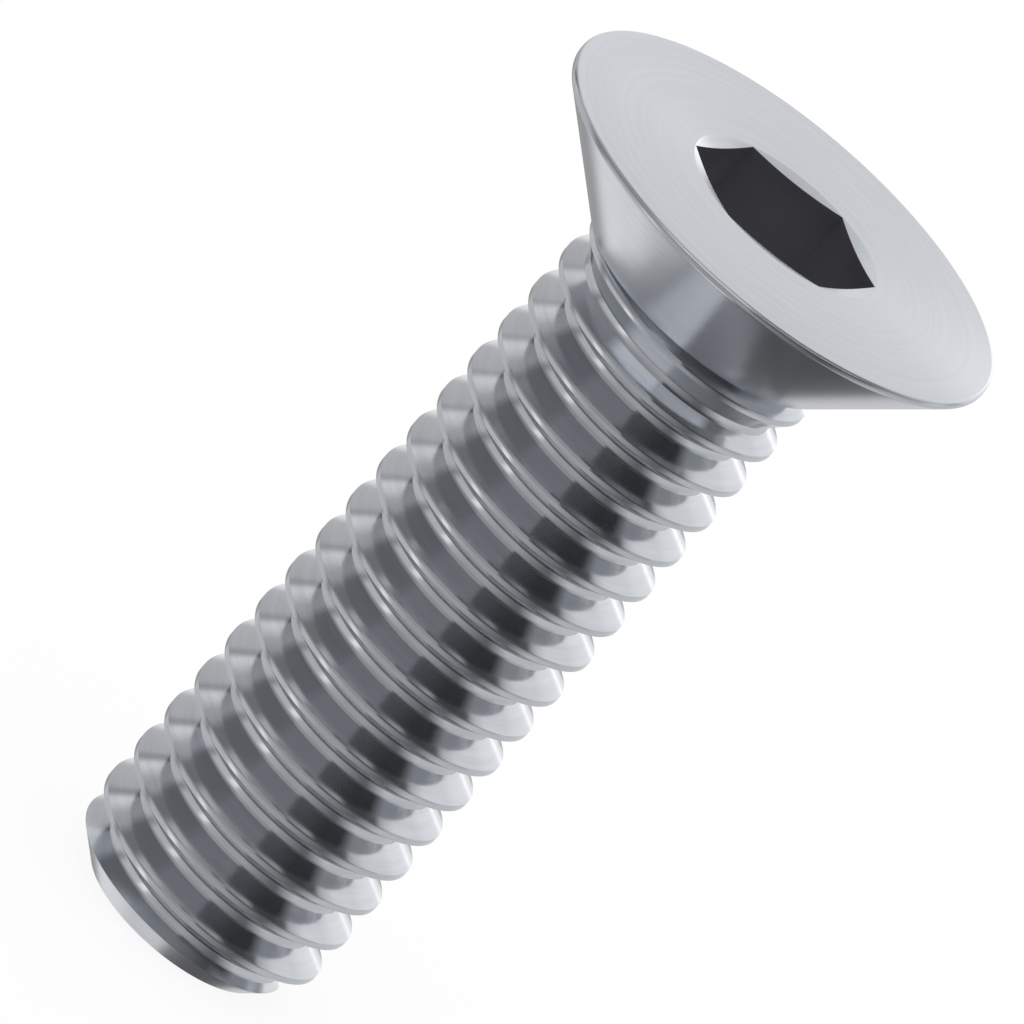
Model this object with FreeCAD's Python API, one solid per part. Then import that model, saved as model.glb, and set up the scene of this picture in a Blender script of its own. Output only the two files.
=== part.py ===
"""M6 x 20 countersunk screw with a 4 mm hexagon socket.

Millimetres, +Z along the axis from the tip to the head, origin at the middle of the tip's flat end.
The -Y side is the front. The thread winds to the left.
"""
import math
import os

import FreeCAD
import Part
from FreeCAD import Vector

# Driving dimensions
LENGTH = 20.06           # over all, from the tip to the flat of the head
PITCH = 1.0
THREAD_R = 2.93          # over the crests
THREAD_DEPTH = 0.563
ROOT_FLAT = 0.2          # width of the flat at the bottom of the groove
FLANK_ANGLE = 30.0       # of each flank, from a plane across the axis
LEFT_HAND = True
GROOVE_Z = 0.5           # height of the groove's middle on the +X side, in its first whole turn

HEAD_R = 5.345
HEAD_ANGLE = 90.0        # of the whole cone
RIM_ROUND = 0.09         # round between the flat of the head and its rim
CONE_TOP_DROP = 0.16     # from the flat of the head down to the start of the cone
CONE_BOTTOM_R = 3.0

TIP_R = 2.2              # of the flat end, inside the chamfer
TIP_ANGLE = 45.0         # of the chamfer, from the axis

SOCKET_FLATS = 4.0
SOCKET_DEPTH = 2.4       # of the full hexagon
SOCKET_TURN = 7.7        # degrees from +X to the nearest corner
SOCKET_MOUTH_R = 2.335   # of the chamfer at the flat of the head
SOCKET_MOUTH_ANGLE = 156.0
DRILL_POINT_ANGLE = 118.0

RUN_OUT_SHIFT = 0.18     # how far the groove's bottom moves out in the last turn
RUN_OUT_SLOPE = 41.0     # of the upper flank there, from the axis
RUN_OUT_DROP = 1.405     # from the bottom of the cone down to the last of the full groove
RUN_OUT_BLEND = 0.35     # turns from the full groove to the shallow one
RUN_OUT_TURNS = 1.75

OVERLAP = 0.3            # of the shank into the head, and of each cut past the surface that it opens

# Worked out
root_r = THREAD_R - THREAD_DEPTH
cone_top_z = LENGTH - CONE_TOP_DROP
cone_slope = math.tan(math.radians(HEAD_ANGLE / 2))
cone_bottom_z = cone_top_z - (HEAD_R - CONE_BOTTOM_R) / cone_slope
flank_rise = math.tan(math.radians(FLANK_ANGLE))
run_out_start = (cone_bottom_z - RUN_OUT_DROP - GROOVE_Z) / PITCH   # turns of full groove
hex_corner_r = SOCKET_FLATS / 2 / math.cos(math.radians(30))


def revolved(points):
    """A solid turned about Z from (radius, height) corners."""
    corners = [Vector(r, 0, z) for r, z in points]
    face = Part.Face(Part.makePolygon(corners + corners[:1]))
    return face.revolve(Vector(0, 0, 0), Vector(0, 0, 1), 360)


def head():
    turned = revolved([
        (0, cone_bottom_z), (CONE_BOTTOM_R, cone_bottom_z), (HEAD_R, cone_top_z),
        (HEAD_R, LENGTH), (0, LENGTH),
    ])
    rim = [e for e in turned.Edges
           if abs(e.CenterOfMass.z - LENGTH) < 1e-6 and e.Length > 6 * HEAD_R]
    return turned.makeFillet(RIM_ROUND, rim)


def shank():
    """The threaded part, cut on a bar that is longer both ways and then given its tip."""
    top_z = cone_bottom_z + OVERLAP
    bar = Part.makeCylinder(THREAD_R, top_z + 2 * PITCH, Vector(0, 0, -2 * PITCH))
    for groove in grooves():
        bar = bar.cut(groove)
    outside = THREAD_R + OVERLAP
    chamfer_z = (outside - TIP_R) / math.tan(math.radians(TIP_ANGLE))
    tip = revolved([(0, 0), (TIP_R, 0), (outside, chamfer_z), (outside, top_z), (0, top_z)])
    return bar.common(tip)


def socket():
    """The hexagon with its chamfered mouth and drill point."""
    corners = [
        Vector(
            hex_corner_r * math.cos(math.radians(SOCKET_TURN + 60 * i)),
            hex_corner_r * math.sin(math.radians(SOCKET_TURN + 60 * i)),
            LENGTH - SOCKET_DEPTH,
        )
        for i in range(6)
    ]
    prism = Part.Face(Part.makePolygon(corners + corners[:1])).extrude(Vector(0, 0, SOCKET_DEPTH + OVERLAP))

    mouth_slope = math.tan(math.radians(SOCKET_MOUTH_ANGLE / 2))
    mouth = Part.makeCone(
        0, SOCKET_MOUTH_R + OVERLAP * mouth_slope, SOCKET_MOUTH_R / mouth_slope + OVERLAP,
        Vector(0, 0, LENGTH - SOCKET_MOUTH_R / mouth_slope),
    )
    drill_r = SOCKET_FLATS / 2
    drill_height = drill_r / math.tan(math.radians(DRILL_POINT_ANGLE / 2))
    drill = Part.makeCone(0, drill_r, drill_height, Vector(0, 0, LENGTH - SOCKET_DEPTH - drill_height))
    return prism.fuse([mouth, drill])


def helix(from_turn, turns):
    """The line of the groove's bottom, from a number of turns up it."""
    line = Part.makeHelix(PITCH, PITCH * turns, root_r, 0, LEFT_HAND)
    hand = -1 if LEFT_HAND else 1
    line.rotate(Vector(0, 0, 0), Vector(0, 0, 1), hand * 360 * from_turn)
    line.translate(Vector(0, 0, GROOVE_Z + PITCH * from_turn))
    return line


def section(turn, shift, upper_slope):
    """The groove's outline a number of turns along, its bottom moved out along the lower flank."""
    outside = THREAD_R + OVERLAP
    bottom_r = root_r + shift
    middle = -shift * flank_rise
    low = middle - ROOT_FLAT / 2
    high = middle + ROOT_FLAT / 2
    outline = [
        Vector(bottom_r, 0, low),
        Vector(outside, 0, low - (outside - bottom_r) * flank_rise),
        Vector(outside, 0, high + (outside - bottom_r) * upper_slope),
        Vector(bottom_r, 0, high),
    ]
    wire = Part.makePolygon(outline + outline[:1])
    hand = -1 if LEFT_HAND else 1
    wire.rotate(Vector(0, 0, 0), Vector(0, 0, 1), hand * 360 * turn)
    wire.translate(Vector(0, 0, GROOVE_Z + PITCH * turn))
    return wire


def swept(from_turn, turns, sections):
    sweep = Part.BRepOffsetAPI.MakePipeShell(Part.Wire(helix(from_turn, turns).Edges))
    sweep.setFrenetMode(True)
    for wire in sections:
        sweep.add(wire, False, False)
    sweep.build()
    sweep.makeSolid()
    return sweep.shape()


def grooves():
    run_out_slope = math.tan(math.radians(90 - RUN_OUT_SLOPE))
    lead_in = -2
    full = section(lead_in, 0, flank_rise)
    blend_from = section(run_out_start, 0, flank_rise)
    blend_to = section(run_out_start + RUN_OUT_BLEND, RUN_OUT_SHIFT, run_out_slope)
    return [
        swept(lead_in, run_out_start - lead_in, [full]),
        swept(run_out_start, RUN_OUT_BLEND, [blend_from, blend_to]),
        swept(run_out_start + RUN_OUT_BLEND, RUN_OUT_TURNS, [blend_to]),
    ]


screw = shank().fuse(head()).cut(socket()).removeSplitter()

print("solids", len(screw.Solids), "valid", screw.isValid(), "volume", round(screw.Volume, 2))
os.makedirs("parts", exist_ok=True)
screw.Solids[0].exportStep("parts/countersunk_socket_screw.step")
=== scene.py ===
import math
import bmesh
import bpy
import numpy as np
from mathutils import Matrix, Vector


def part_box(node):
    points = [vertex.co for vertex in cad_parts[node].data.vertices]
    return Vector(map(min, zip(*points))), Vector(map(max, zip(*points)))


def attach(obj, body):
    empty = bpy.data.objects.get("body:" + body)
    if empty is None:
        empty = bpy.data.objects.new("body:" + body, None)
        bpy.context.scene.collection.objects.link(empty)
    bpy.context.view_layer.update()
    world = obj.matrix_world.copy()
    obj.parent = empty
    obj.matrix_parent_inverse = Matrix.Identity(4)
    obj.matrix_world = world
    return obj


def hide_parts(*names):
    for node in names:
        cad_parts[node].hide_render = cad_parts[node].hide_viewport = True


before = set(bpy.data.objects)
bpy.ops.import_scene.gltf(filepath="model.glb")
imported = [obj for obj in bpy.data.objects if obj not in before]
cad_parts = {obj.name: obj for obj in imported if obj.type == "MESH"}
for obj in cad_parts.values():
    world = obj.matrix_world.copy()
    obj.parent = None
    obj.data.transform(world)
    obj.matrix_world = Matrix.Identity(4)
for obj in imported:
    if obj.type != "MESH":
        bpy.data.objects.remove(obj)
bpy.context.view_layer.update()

mm = 0.001
screwNode = "countersunk_socket_screw"
screwLow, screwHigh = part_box(screwNode)
overallLength = (screwHigh[2] - screwLow[2]) / mm
headRadius = (screwHigh[0] - screwLow[0]) / 2 / mm
print("frame loaded, screw is", round(overallLength, 2), "mm long")


# the axial section of the screw, in millimetres

thread = {
    "pitch": 1.0,
    "crestRadius": 2.93,
    "depth": 0.563,
    "rootFlat": 0.2,
    "flankAngle": 30.0,       # from a plane across the axis
    "grooveHeight": 0.5,      # middle of the first whole groove on the +X side
    "crestSoftness": 0.004,   # radius on the crest's edges
    "rootSoftness": 0.003,
    "runOutStart": 15.65,     # turns of full groove, then it gets shallow
    "runOutBlend": 0.35,
    "runOutShift": 0.18,
    "runOutRise": 1.15,       # upper flank there, rise over run
}

head = {
    "coneTopDrop": 0.16,      # below the flat of the head
    "coneBottomRadius": 3.0,
    "rimRound": 0.09,
    "coneSoftness": 0.08,
}

tip = {"radius": 2.2, "flatBand": 0.4, "edgeGap": 0.02}     # the last two are rings of points inside the edge

socket = {
    "acrossFlats": 4.0,
    "depth": 2.4,
    "cornerTurn": 7.7,        # degrees from +X
    "mouthRadius": 2.335,
    "mouthAngle": 156.0,
    "drillAngle": 118.0,
    "drillInset": 0.001,      # keeps the drill point just inside the flats
    "mouthBand": 0.6,         # a ring of points on the flat of the head, around the mouth
    "mouthSoftness": 0.01,
    "edgeSoftness": 0.015,
    "floorSoftness": 0.02,
}

mesh = {
    "columns": 288,
    "roundSteps": 2,          # of each thread corner
    "cornerSteps": 4,         # of each corner of the head and the socket
    "sharpAngle": 34.0,
    "weldDistance": 1e-7,     # metres
    "sliverEdge": 1e-8,
}


def softenCorners(path, radii, steps):
    # path is columns x corners x (radius, height), and each corner becomes steps + 1 points
    before, after = path[:, :-2], path[:, 2:]
    corner = path[:, 1:-1]
    toBefore, toAfter = before - corner, after - corner
    lengthBefore = np.linalg.norm(toBefore, axis=2, keepdims=True)
    lengthAfter = np.linalg.norm(toAfter, axis=2, keepdims=True)
    toBefore = toBefore / np.maximum(lengthBefore, 1e-9)
    toAfter = toAfter / np.maximum(lengthAfter, 1e-9)
    halfCos = np.sqrt(np.clip((1 + np.sum(toBefore * toAfter, axis=2)) / 2, 1e-6, 1 - 1e-6))
    reach = np.asarray(radii)[None, 1:-1] * halfCos / np.sqrt(1 - halfCos ** 2)
    reach = np.minimum(reach, 0.45 * np.minimum(lengthBefore, lengthAfter)[..., 0])[..., None]
    start, end = corner + toBefore * reach, corner + toAfter * reach
    share = np.linspace(0, 1, steps + 1)[None, None, :, None]
    rounded = ((1 - share) ** 2 * start[:, :, None] + 2 * share * (1 - share) * corner[:, :, None]
               + share ** 2 * end[:, :, None])
    rounded = rounded.reshape(path.shape[0], -1, 2)
    return np.concatenate([path[:, :1], rounded, path[:, -1:]], axis=1)


def threadPath(angles, grooves):
    # corners of each groove from the tip upwards: outer low, root low, root high, outer high
    turns = grooves[None, :] - angles[:, None] / (2 * math.pi)
    blend = np.clip((turns - thread["runOutStart"]) / thread["runOutBlend"], 0, 1)
    blend = blend * blend * (3 - 2 * blend)
    flankRise = math.tan(math.radians(thread["flankAngle"]))
    shift = blend * thread["runOutShift"]
    rootRadius = thread["crestRadius"] - thread["depth"] + shift
    middle = thread["grooveHeight"] + turns * thread["pitch"] - shift * flankRise
    low, high = middle - thread["rootFlat"] / 2, middle + thread["rootFlat"] / 2
    outward = thread["crestRadius"] - rootRadius
    upperRise = flankRise + blend * (thread["runOutRise"] - flankRise)
    crest = np.full_like(rootRadius, thread["crestRadius"])
    corners = np.stack([
        np.stack([crest, low - outward * flankRise], axis=-1),
        np.stack([rootRadius, low], axis=-1),
        np.stack([rootRadius, high], axis=-1),
        np.stack([crest, high + outward * upperRise], axis=-1),
    ], axis=2)
    path = corners.reshape(len(angles), -1, 2)
    radii = [thread["crestSoftness"], thread["rootSoftness"], thread["rootSoftness"],
             thread["crestSoftness"]] * len(grooves)
    return softenCorners(path, radii, mesh["roundSteps"])


def trimToTip(path):
    # the 45 degree chamfer: what lies outside it is brought onto it, with a point where it crosses
    radius, height = path[..., 0].copy(), path[..., 1].copy()
    outside = radius - height - tip["radius"]
    trimmed = path.copy()
    beyond = outside > 0
    trimmed[..., 0] = np.where(beyond, tip["radius"] + np.maximum(height, 0), radius)
    trimmed[..., 1] = np.where(beyond, np.maximum(height, 0), height)
    for step in (1, -1):
        neighbour = np.roll(path, -step, axis=1)
        neighbourOutside = np.roll(outside, -step, axis=1)
        crosses = beyond & (neighbourOutside <= 0)
        crosses[:, -1 if step == 1 else 0] = False      # the ends of the path aren't neighbours
        share = outside / np.where(crosses, outside - neighbourOutside, 1)
        crossing = path + share[..., None] * (neighbour - path)
        trimmed = np.where(crosses[..., None], crossing, trimmed)
    return trimmed


def trimToHead(path, top):
    # everything above the underside of the head is brought to the point where the thread meets it
    trimmed = path.copy()
    for column in range(path.shape[0]):
        first = int(np.argmax(path[column, :, 1] > top))
        a, b = path[column, first - 1], path[column, first]
        trimmed[column, first:] = a + (b - a) * (top - a[1]) / (b[1] - a[1])
    return trimmed


# how far off its surface a face may lie and still get that surface's finish or the socket's painted shade, in
# millimetres
finish = {
    "coneMargin": 0.02,
    "chamferMargin": 0.03,
    "flatMargin": 0.001,
    "belowFlat": 0.005,
    "mouthDepth": 0.3,
    "mouthNormal": 0.9,       # least upright part of the normal on the turned mouth
}


def chooseFinishOrPaintedShade(data):
    # 0 the thread, 1 what was turned last on the head and the tip, 2 the inside of the socket, painted near black as
    # shade in the recess
    coneBottom = overallLength - head["coneTopDrop"] - headRadius + head["coneBottomRadius"]
    for face in data.polygons:
        centre = face.center / mm
        radius = math.hypot(centre.x, centre.y)
        depth = overallLength - centre.z
        inSocket = radius < socket["acrossFlats"] / math.sqrt(3) and finish["belowFlat"] < depth < 2 * socket["depth"]
        onTip = abs(radius - centre.z - tip["radius"]) < finish["chamferMargin"] or centre.z < finish["flatMargin"]
        if inSocket:
            onMouth = face.normal.z >= finish["mouthNormal"] and depth <= finish["mouthDepth"]
            face.material_index = 1 if onMouth else 2
        elif onTip or centre.z > coneBottom - finish["coneMargin"]:
            face.material_index = 1


def buildScrewMesh():
    columns = mesh["columns"]
    steps = mesh["roundSteps"]
    angles = math.radians(socket["cornerTurn"]) + np.arange(columns) * 2 * math.pi / columns
    coneTop = overallLength - head["coneTopDrop"]
    coneBottom = coneTop - (headRadius - head["coneBottomRadius"])
    grooves = np.arange(-1, math.ceil(coneBottom / thread["pitch"]) + 3)

    shank = threadPath(angles, grooves)
    shank = trimToHead(trimToTip(shank), coneBottom)

    sixth = (angles - math.radians(socket["cornerTurn"])) % (math.pi / 3) - math.pi / 6
    hexRadius = socket["acrossFlats"] / 2 / np.cos(sixth)
    mouthDrop = (socket["mouthRadius"] - hexRadius) / math.tan(math.radians(socket["mouthAngle"] / 2))
    floorHeight = overallLength - socket["depth"]
    drillRadius = socket["acrossFlats"] / 2 - socket["drillInset"]
    drillHeight = floorHeight - drillRadius / math.tan(math.radians(socket["drillAngle"] / 2))

    def ring(radius, height):
        return np.stack(np.broadcast_arrays(radius + 0 * angles, height + 0 * angles), axis=-1)

    upper = np.stack([
        shank[:, -1],
        ring(head["coneBottomRadius"], coneBottom),
        ring(headRadius, coneTop),
        ring(headRadius, overallLength),
        ring(socket["mouthRadius"] + socket["mouthBand"], overallLength),
        ring(socket["mouthRadius"], overallLength),
        ring(hexRadius, overallLength - mouthDrop),
        ring(hexRadius, floorHeight),
        ring(drillRadius, floorHeight),
        ring(0, drillHeight),
    ], axis=1)
    upperRadii = [0, head["coneSoftness"], head["coneSoftness"], head["rimRound"], 0, socket["mouthSoftness"],
                  socket["edgeSoftness"], socket["floorSoftness"], socket["floorSoftness"], 0]
    upper = softenCorners(upper, upperRadii, mesh["cornerSteps"])[:, 1:]
    lower = np.stack([
        ring(0, 0),
        ring(tip["radius"] - tip["flatBand"], 0),
        ring(tip["radius"] - tip["edgeGap"], 0),
    ], axis=1)

    path = np.concatenate([lower, shank, upper], axis=1)
    count = path.shape[1]
    x = path[..., 0] * np.cos(angles)[:, None]
    y = path[..., 0] * np.sin(angles)[:, None]
    points = np.stack([x, y, path[..., 1]], axis=-1).reshape(-1, 3) * mm

    # the thread climbs one groove in a turn, so the last column meets the first one groove lower
    perGroove = 4 * (steps + 1)
    index = np.arange(count)
    meets = index.copy()
    inThread = (index >= lower.shape[1]) & (index < lower.shape[1] + shank.shape[1])
    meets[inThread] = np.maximum(index[inThread] - perGroove, lower.shape[1])
    faces = []
    for column in range(columns):
        here = column * count + index
        there = (column + 1) * count + index if column < columns - 1 else meets
        faces += list(zip(here[:-1], there[:-1], there[1:], here[1:]))

    data = bpy.data.meshes.new("screwBody")
    data.from_pydata(points.tolist(), [], [[int(corner) for corner in face] for face in faces])
    shape = bmesh.new()
    shape.from_mesh(data)
    bmesh.ops.remove_doubles(shape, verts=shape.verts, dist=mesh["weldDistance"])
    bmesh.ops.dissolve_degenerate(shape, edges=shape.edges, dist=mesh["sliverEdge"])
    bmesh.ops.recalc_face_normals(shape, faces=shape.faces)
    shape.to_mesh(data)
    shape.free()
    data.polygons.foreach_set("use_smooth", [True] * len(data.polygons))
    data.set_sharp_from_angle(angle=math.radians(mesh["sharpAngle"]))
    chooseFinishOrPaintedShade(data)
    return data


screwBody = bpy.data.objects.new("screwBody", buildScrewMesh())
bpy.context.scene.collection.objects.link(screwBody)
normals = screwBody.modifiers.new("evenNormals", "WEIGHTED_NORMAL")
normals.keep_sharp = True
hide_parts(screwNode)
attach(screwBody, "root")
print("screw body built with", len(screwBody.data.polygons), "faces")


# bright steel, drawn out across the fine lines that run around the axis

threadSteel = {
    "colour": (0.584, 0.605, 0.643),
    "lineColour": (0.532, 0.551, 0.588),
    "roughness": (0.12, 0.15),
    "anisotropy": 0.5,
    "linesPerMillimetre": 6.0,
    "lineDrift": 0.35,        # how soon a line changes on its way around
    "lineHeight": 0.00002,    # millimetres
}

turnedSteel = {
    "colour": (0.561, 0.581, 0.617),
    "lineColour": (0.537, 0.556, 0.593),
    "roughness": (0.19, 0.205),
    "anisotropy": 0.85,
    "linesPerMillimetre": 12.0,
    "lineDrift": 0.35,
    "lineHeight": 0.00009,
}

# the same for both steels
turning = {"detail": 3, "roughness": 0.6, "range": (0.35, 0.65), "quarterTurn": 0.25}

# the inside of the socket is painted near black as shade in the recess, lighter further down, with a faint random
# cloud
paintedSocketShade = {
    "colour": (0.046, 0.044, 0.053),
    "deepPaintedShade": (0.150, 0.145, 0.160),
    "fade": (0.2, 1.9),       # millimetres below the flat of the head
    "cloud": 0.25,
    "cloudsPerMillimetre": 0.8,
    "roughness": 0.55,
    "specular": 0.1,
}


def turningLines(tree, steel):
    # a value that changes along the radius and the height, and only slowly around the axis
    nodes, links = tree.nodes, tree.links
    place = nodes.new("ShaderNodeTexCoord")
    parts = nodes.new("ShaderNodeSeparateXYZ")
    links.new(place.outputs["Object"], parts.inputs[0])
    flat = nodes.new("ShaderNodeCombineXYZ")
    links.new(parts.outputs["X"], flat.inputs["X"])
    links.new(parts.outputs["Y"], flat.inputs["Y"])
    radius = nodes.new("ShaderNodeVectorMath")
    radius.operation = "LENGTH"
    links.new(flat.outputs[0], radius.inputs[0])
    drift = nodes.new("ShaderNodeMath")
    drift.operation = "MULTIPLY"
    drift.inputs[1].default_value = steel["lineDrift"] / steel["linesPerMillimetre"]
    links.new(parts.outputs["X"], drift.inputs[0])
    spread = nodes.new("ShaderNodeCombineXYZ")
    links.new(radius.outputs["Value"], spread.inputs["X"])
    links.new(parts.outputs["Z"], spread.inputs["Y"])
    links.new(drift.outputs[0], spread.inputs["Z"])
    lines = nodes.new("ShaderNodeTexNoise")
    lines.inputs["Scale"].default_value = steel["linesPerMillimetre"] / mm
    lines.inputs["Detail"].default_value = turning["detail"]
    lines.inputs["Roughness"].default_value = turning["roughness"]
    links.new(spread.outputs[0], lines.inputs["Vector"])
    return lines.outputs["Fac"]


def mixedBy(tree, factor, low, high, lowValue, highValue):
    ramp = tree.nodes.new("ShaderNodeMapRange")
    ramp.inputs["From Min"].default_value = low
    ramp.inputs["From Max"].default_value = high
    tree.links.new(factor, ramp.inputs["Value"])
    if not isinstance(lowValue, tuple):
        ramp.inputs["To Min"].default_value = lowValue
        ramp.inputs["To Max"].default_value = highValue
        return ramp.outputs[0]
    mix = tree.nodes.new("ShaderNodeMix")
    mix.data_type = "RGBA"
    mix.inputs[6].default_value = (*lowValue, 1)
    mix.inputs[7].default_value = (*highValue, 1)
    tree.links.new(ramp.outputs[0], mix.inputs[0])
    return mix.outputs[2]


def brightSteel(name, steel):
    material = bpy.data.materials.new(name)
    material.use_nodes = True
    tree = material.node_tree
    shader = tree.nodes["Principled BSDF"]
    shader.inputs["Metallic"].default_value = 1
    shader.inputs["Anisotropic"].default_value = steel["anisotropy"]
    shader.inputs["Anisotropic Rotation"].default_value = turning["quarterTurn"]
    around = tree.nodes.new("ShaderNodeTangent")
    around.direction_type = "RADIAL"
    around.axis = "Z"
    tree.links.new(around.outputs[0], shader.inputs["Tangent"])
    lines = turningLines(tree, steel)
    colour = mixedBy(tree, lines, *turning["range"], steel["lineColour"], steel["colour"])
    tree.links.new(colour, shader.inputs["Base Color"])
    smooth, rough = steel["roughness"]
    roughness = mixedBy(tree, lines, *turning["range"], rough, smooth)
    tree.links.new(roughness, shader.inputs["Roughness"])
    bump = tree.nodes.new("ShaderNodeBump")
    bump.inputs["Distance"].default_value = steel["lineHeight"] * mm
    tree.links.new(lines, bump.inputs["Height"])
    tree.links.new(bump.outputs[0], shader.inputs["Normal"])
    return material


def paintedShadeSocket():
    material = bpy.data.materials.new("paintedShadeSocket")
    material.use_nodes = True
    tree = material.node_tree
    shader = tree.nodes["Principled BSDF"]
    shader.inputs["Roughness"].default_value = paintedSocketShade["roughness"]
    shader.inputs["Specular IOR Level"].default_value = paintedSocketShade["specular"]
    place = tree.nodes.new("ShaderNodeTexCoord")
    parts = tree.nodes.new("ShaderNodeSeparateXYZ")
    tree.links.new(place.outputs["Object"], parts.inputs[0])
    # painted shade: near black just below the mouth, turning lighter towards the floor of the socket, with a faint
    # random cloud
    near, far = [(overallLength - below) * mm for below in paintedSocketShade["fade"]]
    depth = mixedBy(tree, parts.outputs["Z"], far, near, 1.0, 0.0)
    cloud = tree.nodes.new("ShaderNodeTexNoise")
    cloud.inputs["Scale"].default_value = paintedSocketShade["cloudsPerMillimetre"] / mm
    tree.links.new(place.outputs["Object"], cloud.inputs["Vector"])
    clouded = tree.nodes.new("ShaderNodeMath")
    clouded.operation = "MULTIPLY_ADD"
    clouded.inputs[1].default_value = paintedSocketShade["cloud"]
    tree.links.new(cloud.outputs["Fac"], clouded.inputs[0])
    tree.links.new(depth, clouded.inputs[2])
    colour = mixedBy(tree, clouded.outputs[0], 0, 1 + paintedSocketShade["cloud"],
                     paintedSocketShade["colour"], paintedSocketShade["deepPaintedShade"])
    tree.links.new(colour, shader.inputs["Base Color"])
    return material


screwBody.data.materials.append(brightSteel("threadSteel", threadSteel))
screwBody.data.materials.append(brightSteel("turnedSteel", turnedSteel))
screwBody.data.materials.append(paintedShadeSocket())
print("steel made")


# floor, light and camera: a white surround, with grey and black cards in it that only the steel reflects

studio = {"floorSize": 3.0, "floorDrop": 0.02, "floorGlow": 0.9, "worldStrength": 1.0}

# azimuth from the front towards +X, elevation and the softness of the two upright edges, all in degrees;
# level 1 is white, and the first cards hang in front of the others
cards = {
    "dipLeft": {"azimuth": (-141, -125), "elevation": (-10, 32), "soft": (4, 4), "level": 0.20},
    "sideLeft": {"azimuth": (-126, -90), "elevation": (-18, 16), "soft": (8, 12), "level": 0.70},
    "bandLeft": {"azimuth": (-108, -32), "elevation": (-18, 16), "soft": (8, 10), "level": 0.30},
    "flagRight": {"azimuth": (14, 90), "elevation": (-16, 10), "soft": (2, 14), "level": 0.04},
    "edgeRight": {"azimuth": (78, 116), "elevation": (-18, 12), "soft": (0, 6), "level": 0.56},
    "bandFront": {"azimuth": (-50, 30), "elevation": (-18, 14), "soft": (10, 2), "level": 0.40},
    "dipRight": {"azimuth": (124, 142), "elevation": (-14, 26), "soft": (5, 5), "level": 0.60},
    "flashBack": {"azimuth": (162, 176), "elevation": (-6, 26), "soft": (4, 2), "level": 1.60},
    "softboxBack": {"azimuth": (144, 170), "elevation": (-10, 34), "soft": (5, 5), "level": 1.08},
    "backLeft": {"azimuth": (194, 228), "elevation": (-16, 36), "soft": (6, 4), "level": 0.64},
    "archRight": {"azimuth": (14, 84), "elevation": (18, 32), "soft": (6, 12), "level": 1.20},
    "archFront": {"azimuth": (-46, 20), "elevation": (18, 40), "soft": (14, 6), "level": 1.35},
    "upperLeft": {"azimuth": (-130, -26), "elevation": (0, 54), "soft": (6, 10), "level": 0.52},
    "riseRight": {"azimuth": (102, 128), "elevation": (0, 48), "soft": (6, 6), "level": 0.60},
    "upperRight": {"azimuth": (12, 116), "elevation": (0, 54), "soft": (6, 6), "level": 0.30},
    "upperFront": {"azimuth": (-46, 24), "elevation": (0, 54), "soft": (14, 6), "level": 0.85},
    "overheadRight": {"azimuth": (22, 158), "elevation": (66, 90), "soft": (3, 3), "level": 0.40},
    "overhead": {"azimuth": (-180, 180), "elevation": (64, 90), "soft": (0, 0), "level": 0.62},
    "canopyLeft": {"azimuth": (-130, -56), "elevation": (44, 72), "soft": (6, 10), "level": 0.24},
    "canopyFront": {"azimuth": (-70, 30), "elevation": (44, 72), "soft": (10, 6), "level": 0.48},
    "canopyRight": {"azimuth": (12, 140), "elevation": (44, 72), "soft": (6, 6), "level": 0.07},
    "glowBack": {"azimuth": (134, 234), "elevation": (34, 72), "soft": (6, 8), "level": 0.80},
    "lowFlash": {"azimuth": (-55, -37), "elevation": (-46, -18), "soft": (6, 6), "level": 1.20},
    "lowShadow": {"azimuth": (-99, -79), "elevation": (-32, -8), "soft": (9, 9), "level": 0.38},
    "lowLeft": {"azimuth": (-154, -14), "elevation": (-42, -8), "soft": (12, 34), "level": 0.72},
    "lowFront": {"azimuth": (-60, 52), "elevation": (-42, -8), "soft": (6, 38), "level": 0.52},
    "lowRight": {"azimuth": (-20, 84), "elevation": (-52, -8), "soft": (0, 26), "level": 0.18},
    "lowSide": {"azimuth": (54, 176), "elevation": (-44, -8), "soft": (0, 6), "level": 0.76},
    "lowBack": {"azimuth": (170, 232), "elevation": (-44, -8), "soft": (8, 8), "level": 0.40},
    "groundLeft": {"azimuth": (-156, -66), "elevation": (-62, -32), "soft": (8, 16), "level": 0.95},
    "groundFront": {"azimuth": (-90, 24), "elevation": (-58, -32), "soft": (0, 12), "level": 0.68},
    "groundSide": {"azimuth": (58, 140), "elevation": (-58, -32), "soft": (10, 12), "level": 0.70},
    "bottomRight": {"azimuth": (9, 112), "elevation": (-90, -44), "soft": (2, 8), "level": 0.18},
    "streakBack": {"azimuth": (162, 169), "elevation": (-90, -40), "soft": (3, 3), "level": 0.45},
    "bottomBack": {"azimuth": (104, 172), "elevation": (-90, -38), "soft": (8, 1), "level": 0.10},
    "nadir": {"azimuth": (-180, 180), "elevation": (-90, -78), "soft": (0, 0), "level": 0.50},
    "bottomFront": {"azimuth": (-34, 14), "elevation": (-80, -50), "soft": (12, 3), "level": 1.40},
    "bottomLeft": {"azimuth": (-84, -20), "elevation": (-82, -52), "soft": (12, 4), "level": 0.28},
    "glowBelow": {"azimuth": (190, 228), "elevation": (-66, -38), "soft": (8, 8), "level": 1.10},
    "bottomMiddle": {"azimuth": (168, 206), "elevation": (-90, -38), "soft": (0, 8), "level": 0.92},
    "bottomSide": {"azimuth": (200, 290), "elevation": (-90, -50), "soft": (0, 8), "level": 0.70},
}

# metres from the screw to the first card and from card to card, the height of their middle in millimetres,
# and the softness of the two level edges in degrees
cardShape = {"distance": 0.4, "spacing": 0.01, "centreHeight": 10.0, "columns": 60, "rows": 12, "soft": 5}


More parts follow.
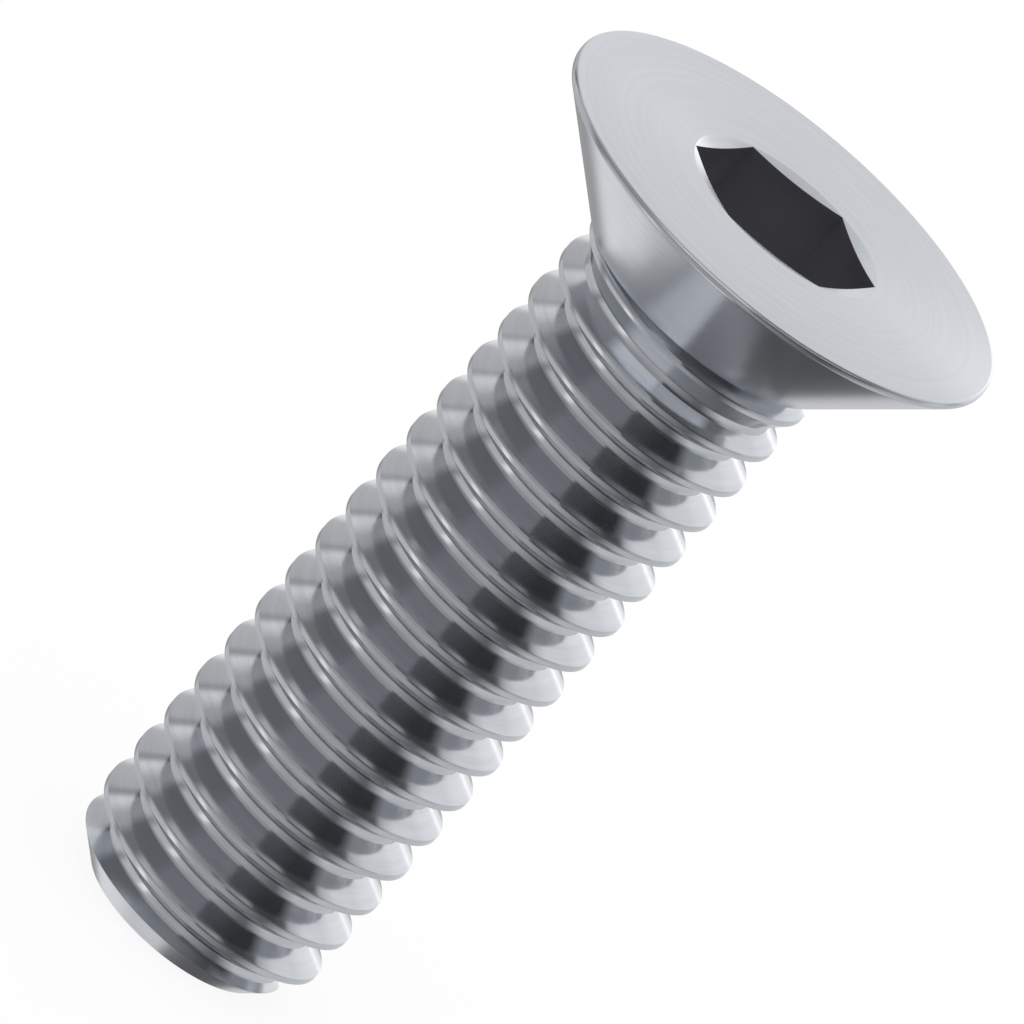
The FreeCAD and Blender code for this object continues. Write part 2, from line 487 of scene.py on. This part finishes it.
def buildCard(name, card, distance):
    # a piece of a dome around the middle of the screw, which fades out towards its edges
    columns, rows = cardShape["columns"], cardShape["rows"]
    points, cover = [], []
    for azimuth in np.linspace(*card["azimuth"], columns + 1):
        fade = 1.0
        for edge, soft in zip(card["azimuth"], card["soft"]):
            if soft:
                fade *= min(1, abs(azimuth - edge) / soft)
        for elevation in np.linspace(*card["elevation"], rows + 1):
            across, up = math.radians(azimuth), math.radians(elevation)
            points.append((
                distance * math.sin(across) * math.cos(up),
                -distance * math.cos(across) * math.cos(up),
                distance * math.sin(up) + cardShape["centreHeight"] * mm,
            ))
            inwards = [abs(elevation - edge) for edge in card["elevation"] if abs(edge) < 90]
            cover.append(fade * min([1] + [step / cardShape["soft"] for step in inwards]))
    faces = []
    for column in range(columns):
        first = column * (rows + 1)
        for low in range(first, first + rows):
            faces.append((low, low + rows + 1, low + rows + 2, low + 1))
    data = bpy.data.meshes.new(name)
    data.from_pydata(points, [], faces)
    data.attributes.new("cover", "FLOAT", "POINT").data.foreach_set("value", cover)

    material = bpy.data.materials.new(name)
    material.use_nodes = True
    tree = material.node_tree
    tree.nodes.remove(tree.nodes["Principled BSDF"])
    glow = tree.nodes.new("ShaderNodeEmission")
    glow.inputs["Color"].default_value = (1, 1, 1, 1)
    glow.inputs["Strength"].default_value = card["level"]
    clear = tree.nodes.new("ShaderNodeBsdfTransparent")
    covered = tree.nodes.new("ShaderNodeAttribute")
    covered.attribute_name = "cover"
    mix = tree.nodes.new("ShaderNodeMixShader")
    tree.links.new(covered.outputs["Fac"], mix.inputs[0])
    tree.links.new(clear.outputs[0], mix.inputs[1])
    tree.links.new(glow.outputs[0], mix.inputs[2])
    tree.links.new(mix.outputs[0], tree.nodes["Material Output"].inputs["Surface"])
    material.cycles.emission_sampling = "NONE"
    data.materials.append(material)

    body = bpy.data.objects.new(name, data)
    bpy.context.scene.collection.objects.link(body)
    body.visible_camera = False
    body.visible_diffuse = False
    body.visible_shadow = False


def whiteFloor():
    size = studio["floorSize"]
    height = -studio["floorDrop"] * mm        # just clear of the tip's flat end
    data = bpy.data.meshes.new("whiteFloor")
    corners = [(x * size, y * size, height) for x, y in [(-1, -1), (1, -1), (1, 1), (-1, 1)]]
    data.from_pydata(corners, [], [(0, 1, 2, 3)])
    floor = bpy.data.objects.new("whiteFloor", data)
    bpy.context.scene.collection.objects.link(floor)
    material = bpy.data.materials.new("whiteFloor")
    material.use_nodes = True
    tree = material.node_tree
    tree.nodes.remove(tree.nodes["Principled BSDF"])
    paper = tree.nodes.new("ShaderNodeBsdfDiffuse")
    paper.inputs["Color"].default_value = (1, 1, 1, 1)
    glow = tree.nodes.new("ShaderNodeEmission")
    mix = tree.nodes.new("ShaderNodeMixShader")
    mix.inputs[0].default_value = studio["floorGlow"]
    tree.links.new(paper.outputs[0], mix.inputs[1])
    tree.links.new(glow.outputs[0], mix.inputs[2])
    tree.links.new(mix.outputs[0], tree.nodes["Material Output"].inputs["Surface"])
    material.cycles.emission_sampling = "NONE"
    data.materials.append(material)
    floor.visible_glossy = False


whiteFloor()
for place, (cardName, card) in enumerate(cards.items()):
    buildCard(cardName, card, cardShape["distance"] + place * cardShape["spacing"])

world = bpy.data.worlds.new("studio")
bpy.context.scene.world = world
world.use_nodes = True
world.node_tree.nodes["Background"].inputs["Color"].default_value = (1, 1, 1, 1)
world.node_tree.nodes["Background"].inputs["Strength"].default_value = studio["worldStrength"]
world.cycles.sampling_method = "NONE"
print("floor and", len(cards), "cards placed")

cameraPose = {
    "elevation": 20.65,       # degrees above the plane of the head
    "roll": 41.02,            # the head leans to the upper right of the picture
    "aimHeight": 11.39,       # millimetres up the axis
    "aimAcross": -0.25,
    "lens": 1500.0,
    "sensorWidth": 36.0,
    "frameWidth": 1024,       # pixels
    "pixelsPerMillimetre": 49.48,
}


def placeCamera():
    data = bpy.data.cameras.new("camera")
    data.sensor_width = cameraPose["sensorWidth"]
    data.lens = cameraPose["lens"]
    camera = bpy.data.objects.new("camera", data)
    bpy.context.scene.collection.objects.link(camera)
    elevation, roll = math.radians(cameraPose["elevation"]), math.radians(cameraPose["roll"])
    towards = Vector((0, -math.cos(elevation), math.sin(elevation)))
    across = Vector((1, 0, 0))
    upright = Vector((0, math.sin(elevation), math.cos(elevation)))
    right = math.cos(roll) * across + math.sin(roll) * upright
    up = math.cos(roll) * upright - math.sin(roll) * across
    aim = Vector((cameraPose["aimAcross"], 0, cameraPose["aimHeight"])) * mm
    pictureWidth = cameraPose["frameWidth"] / cameraPose["pixelsPerMillimetre"] * mm
    distance = pictureWidth * cameraPose["lens"] / cameraPose["sensorWidth"]
    turn = Matrix((right, up, towards)).transposed()
    camera.matrix_world = Matrix.Translation(aim + towards * distance) @ turn.to_4x4()
    bpy.context.scene.camera = camera


placeCamera()
bpy.context.scene.view_settings.view_transform = "Standard"
print("camera placed")
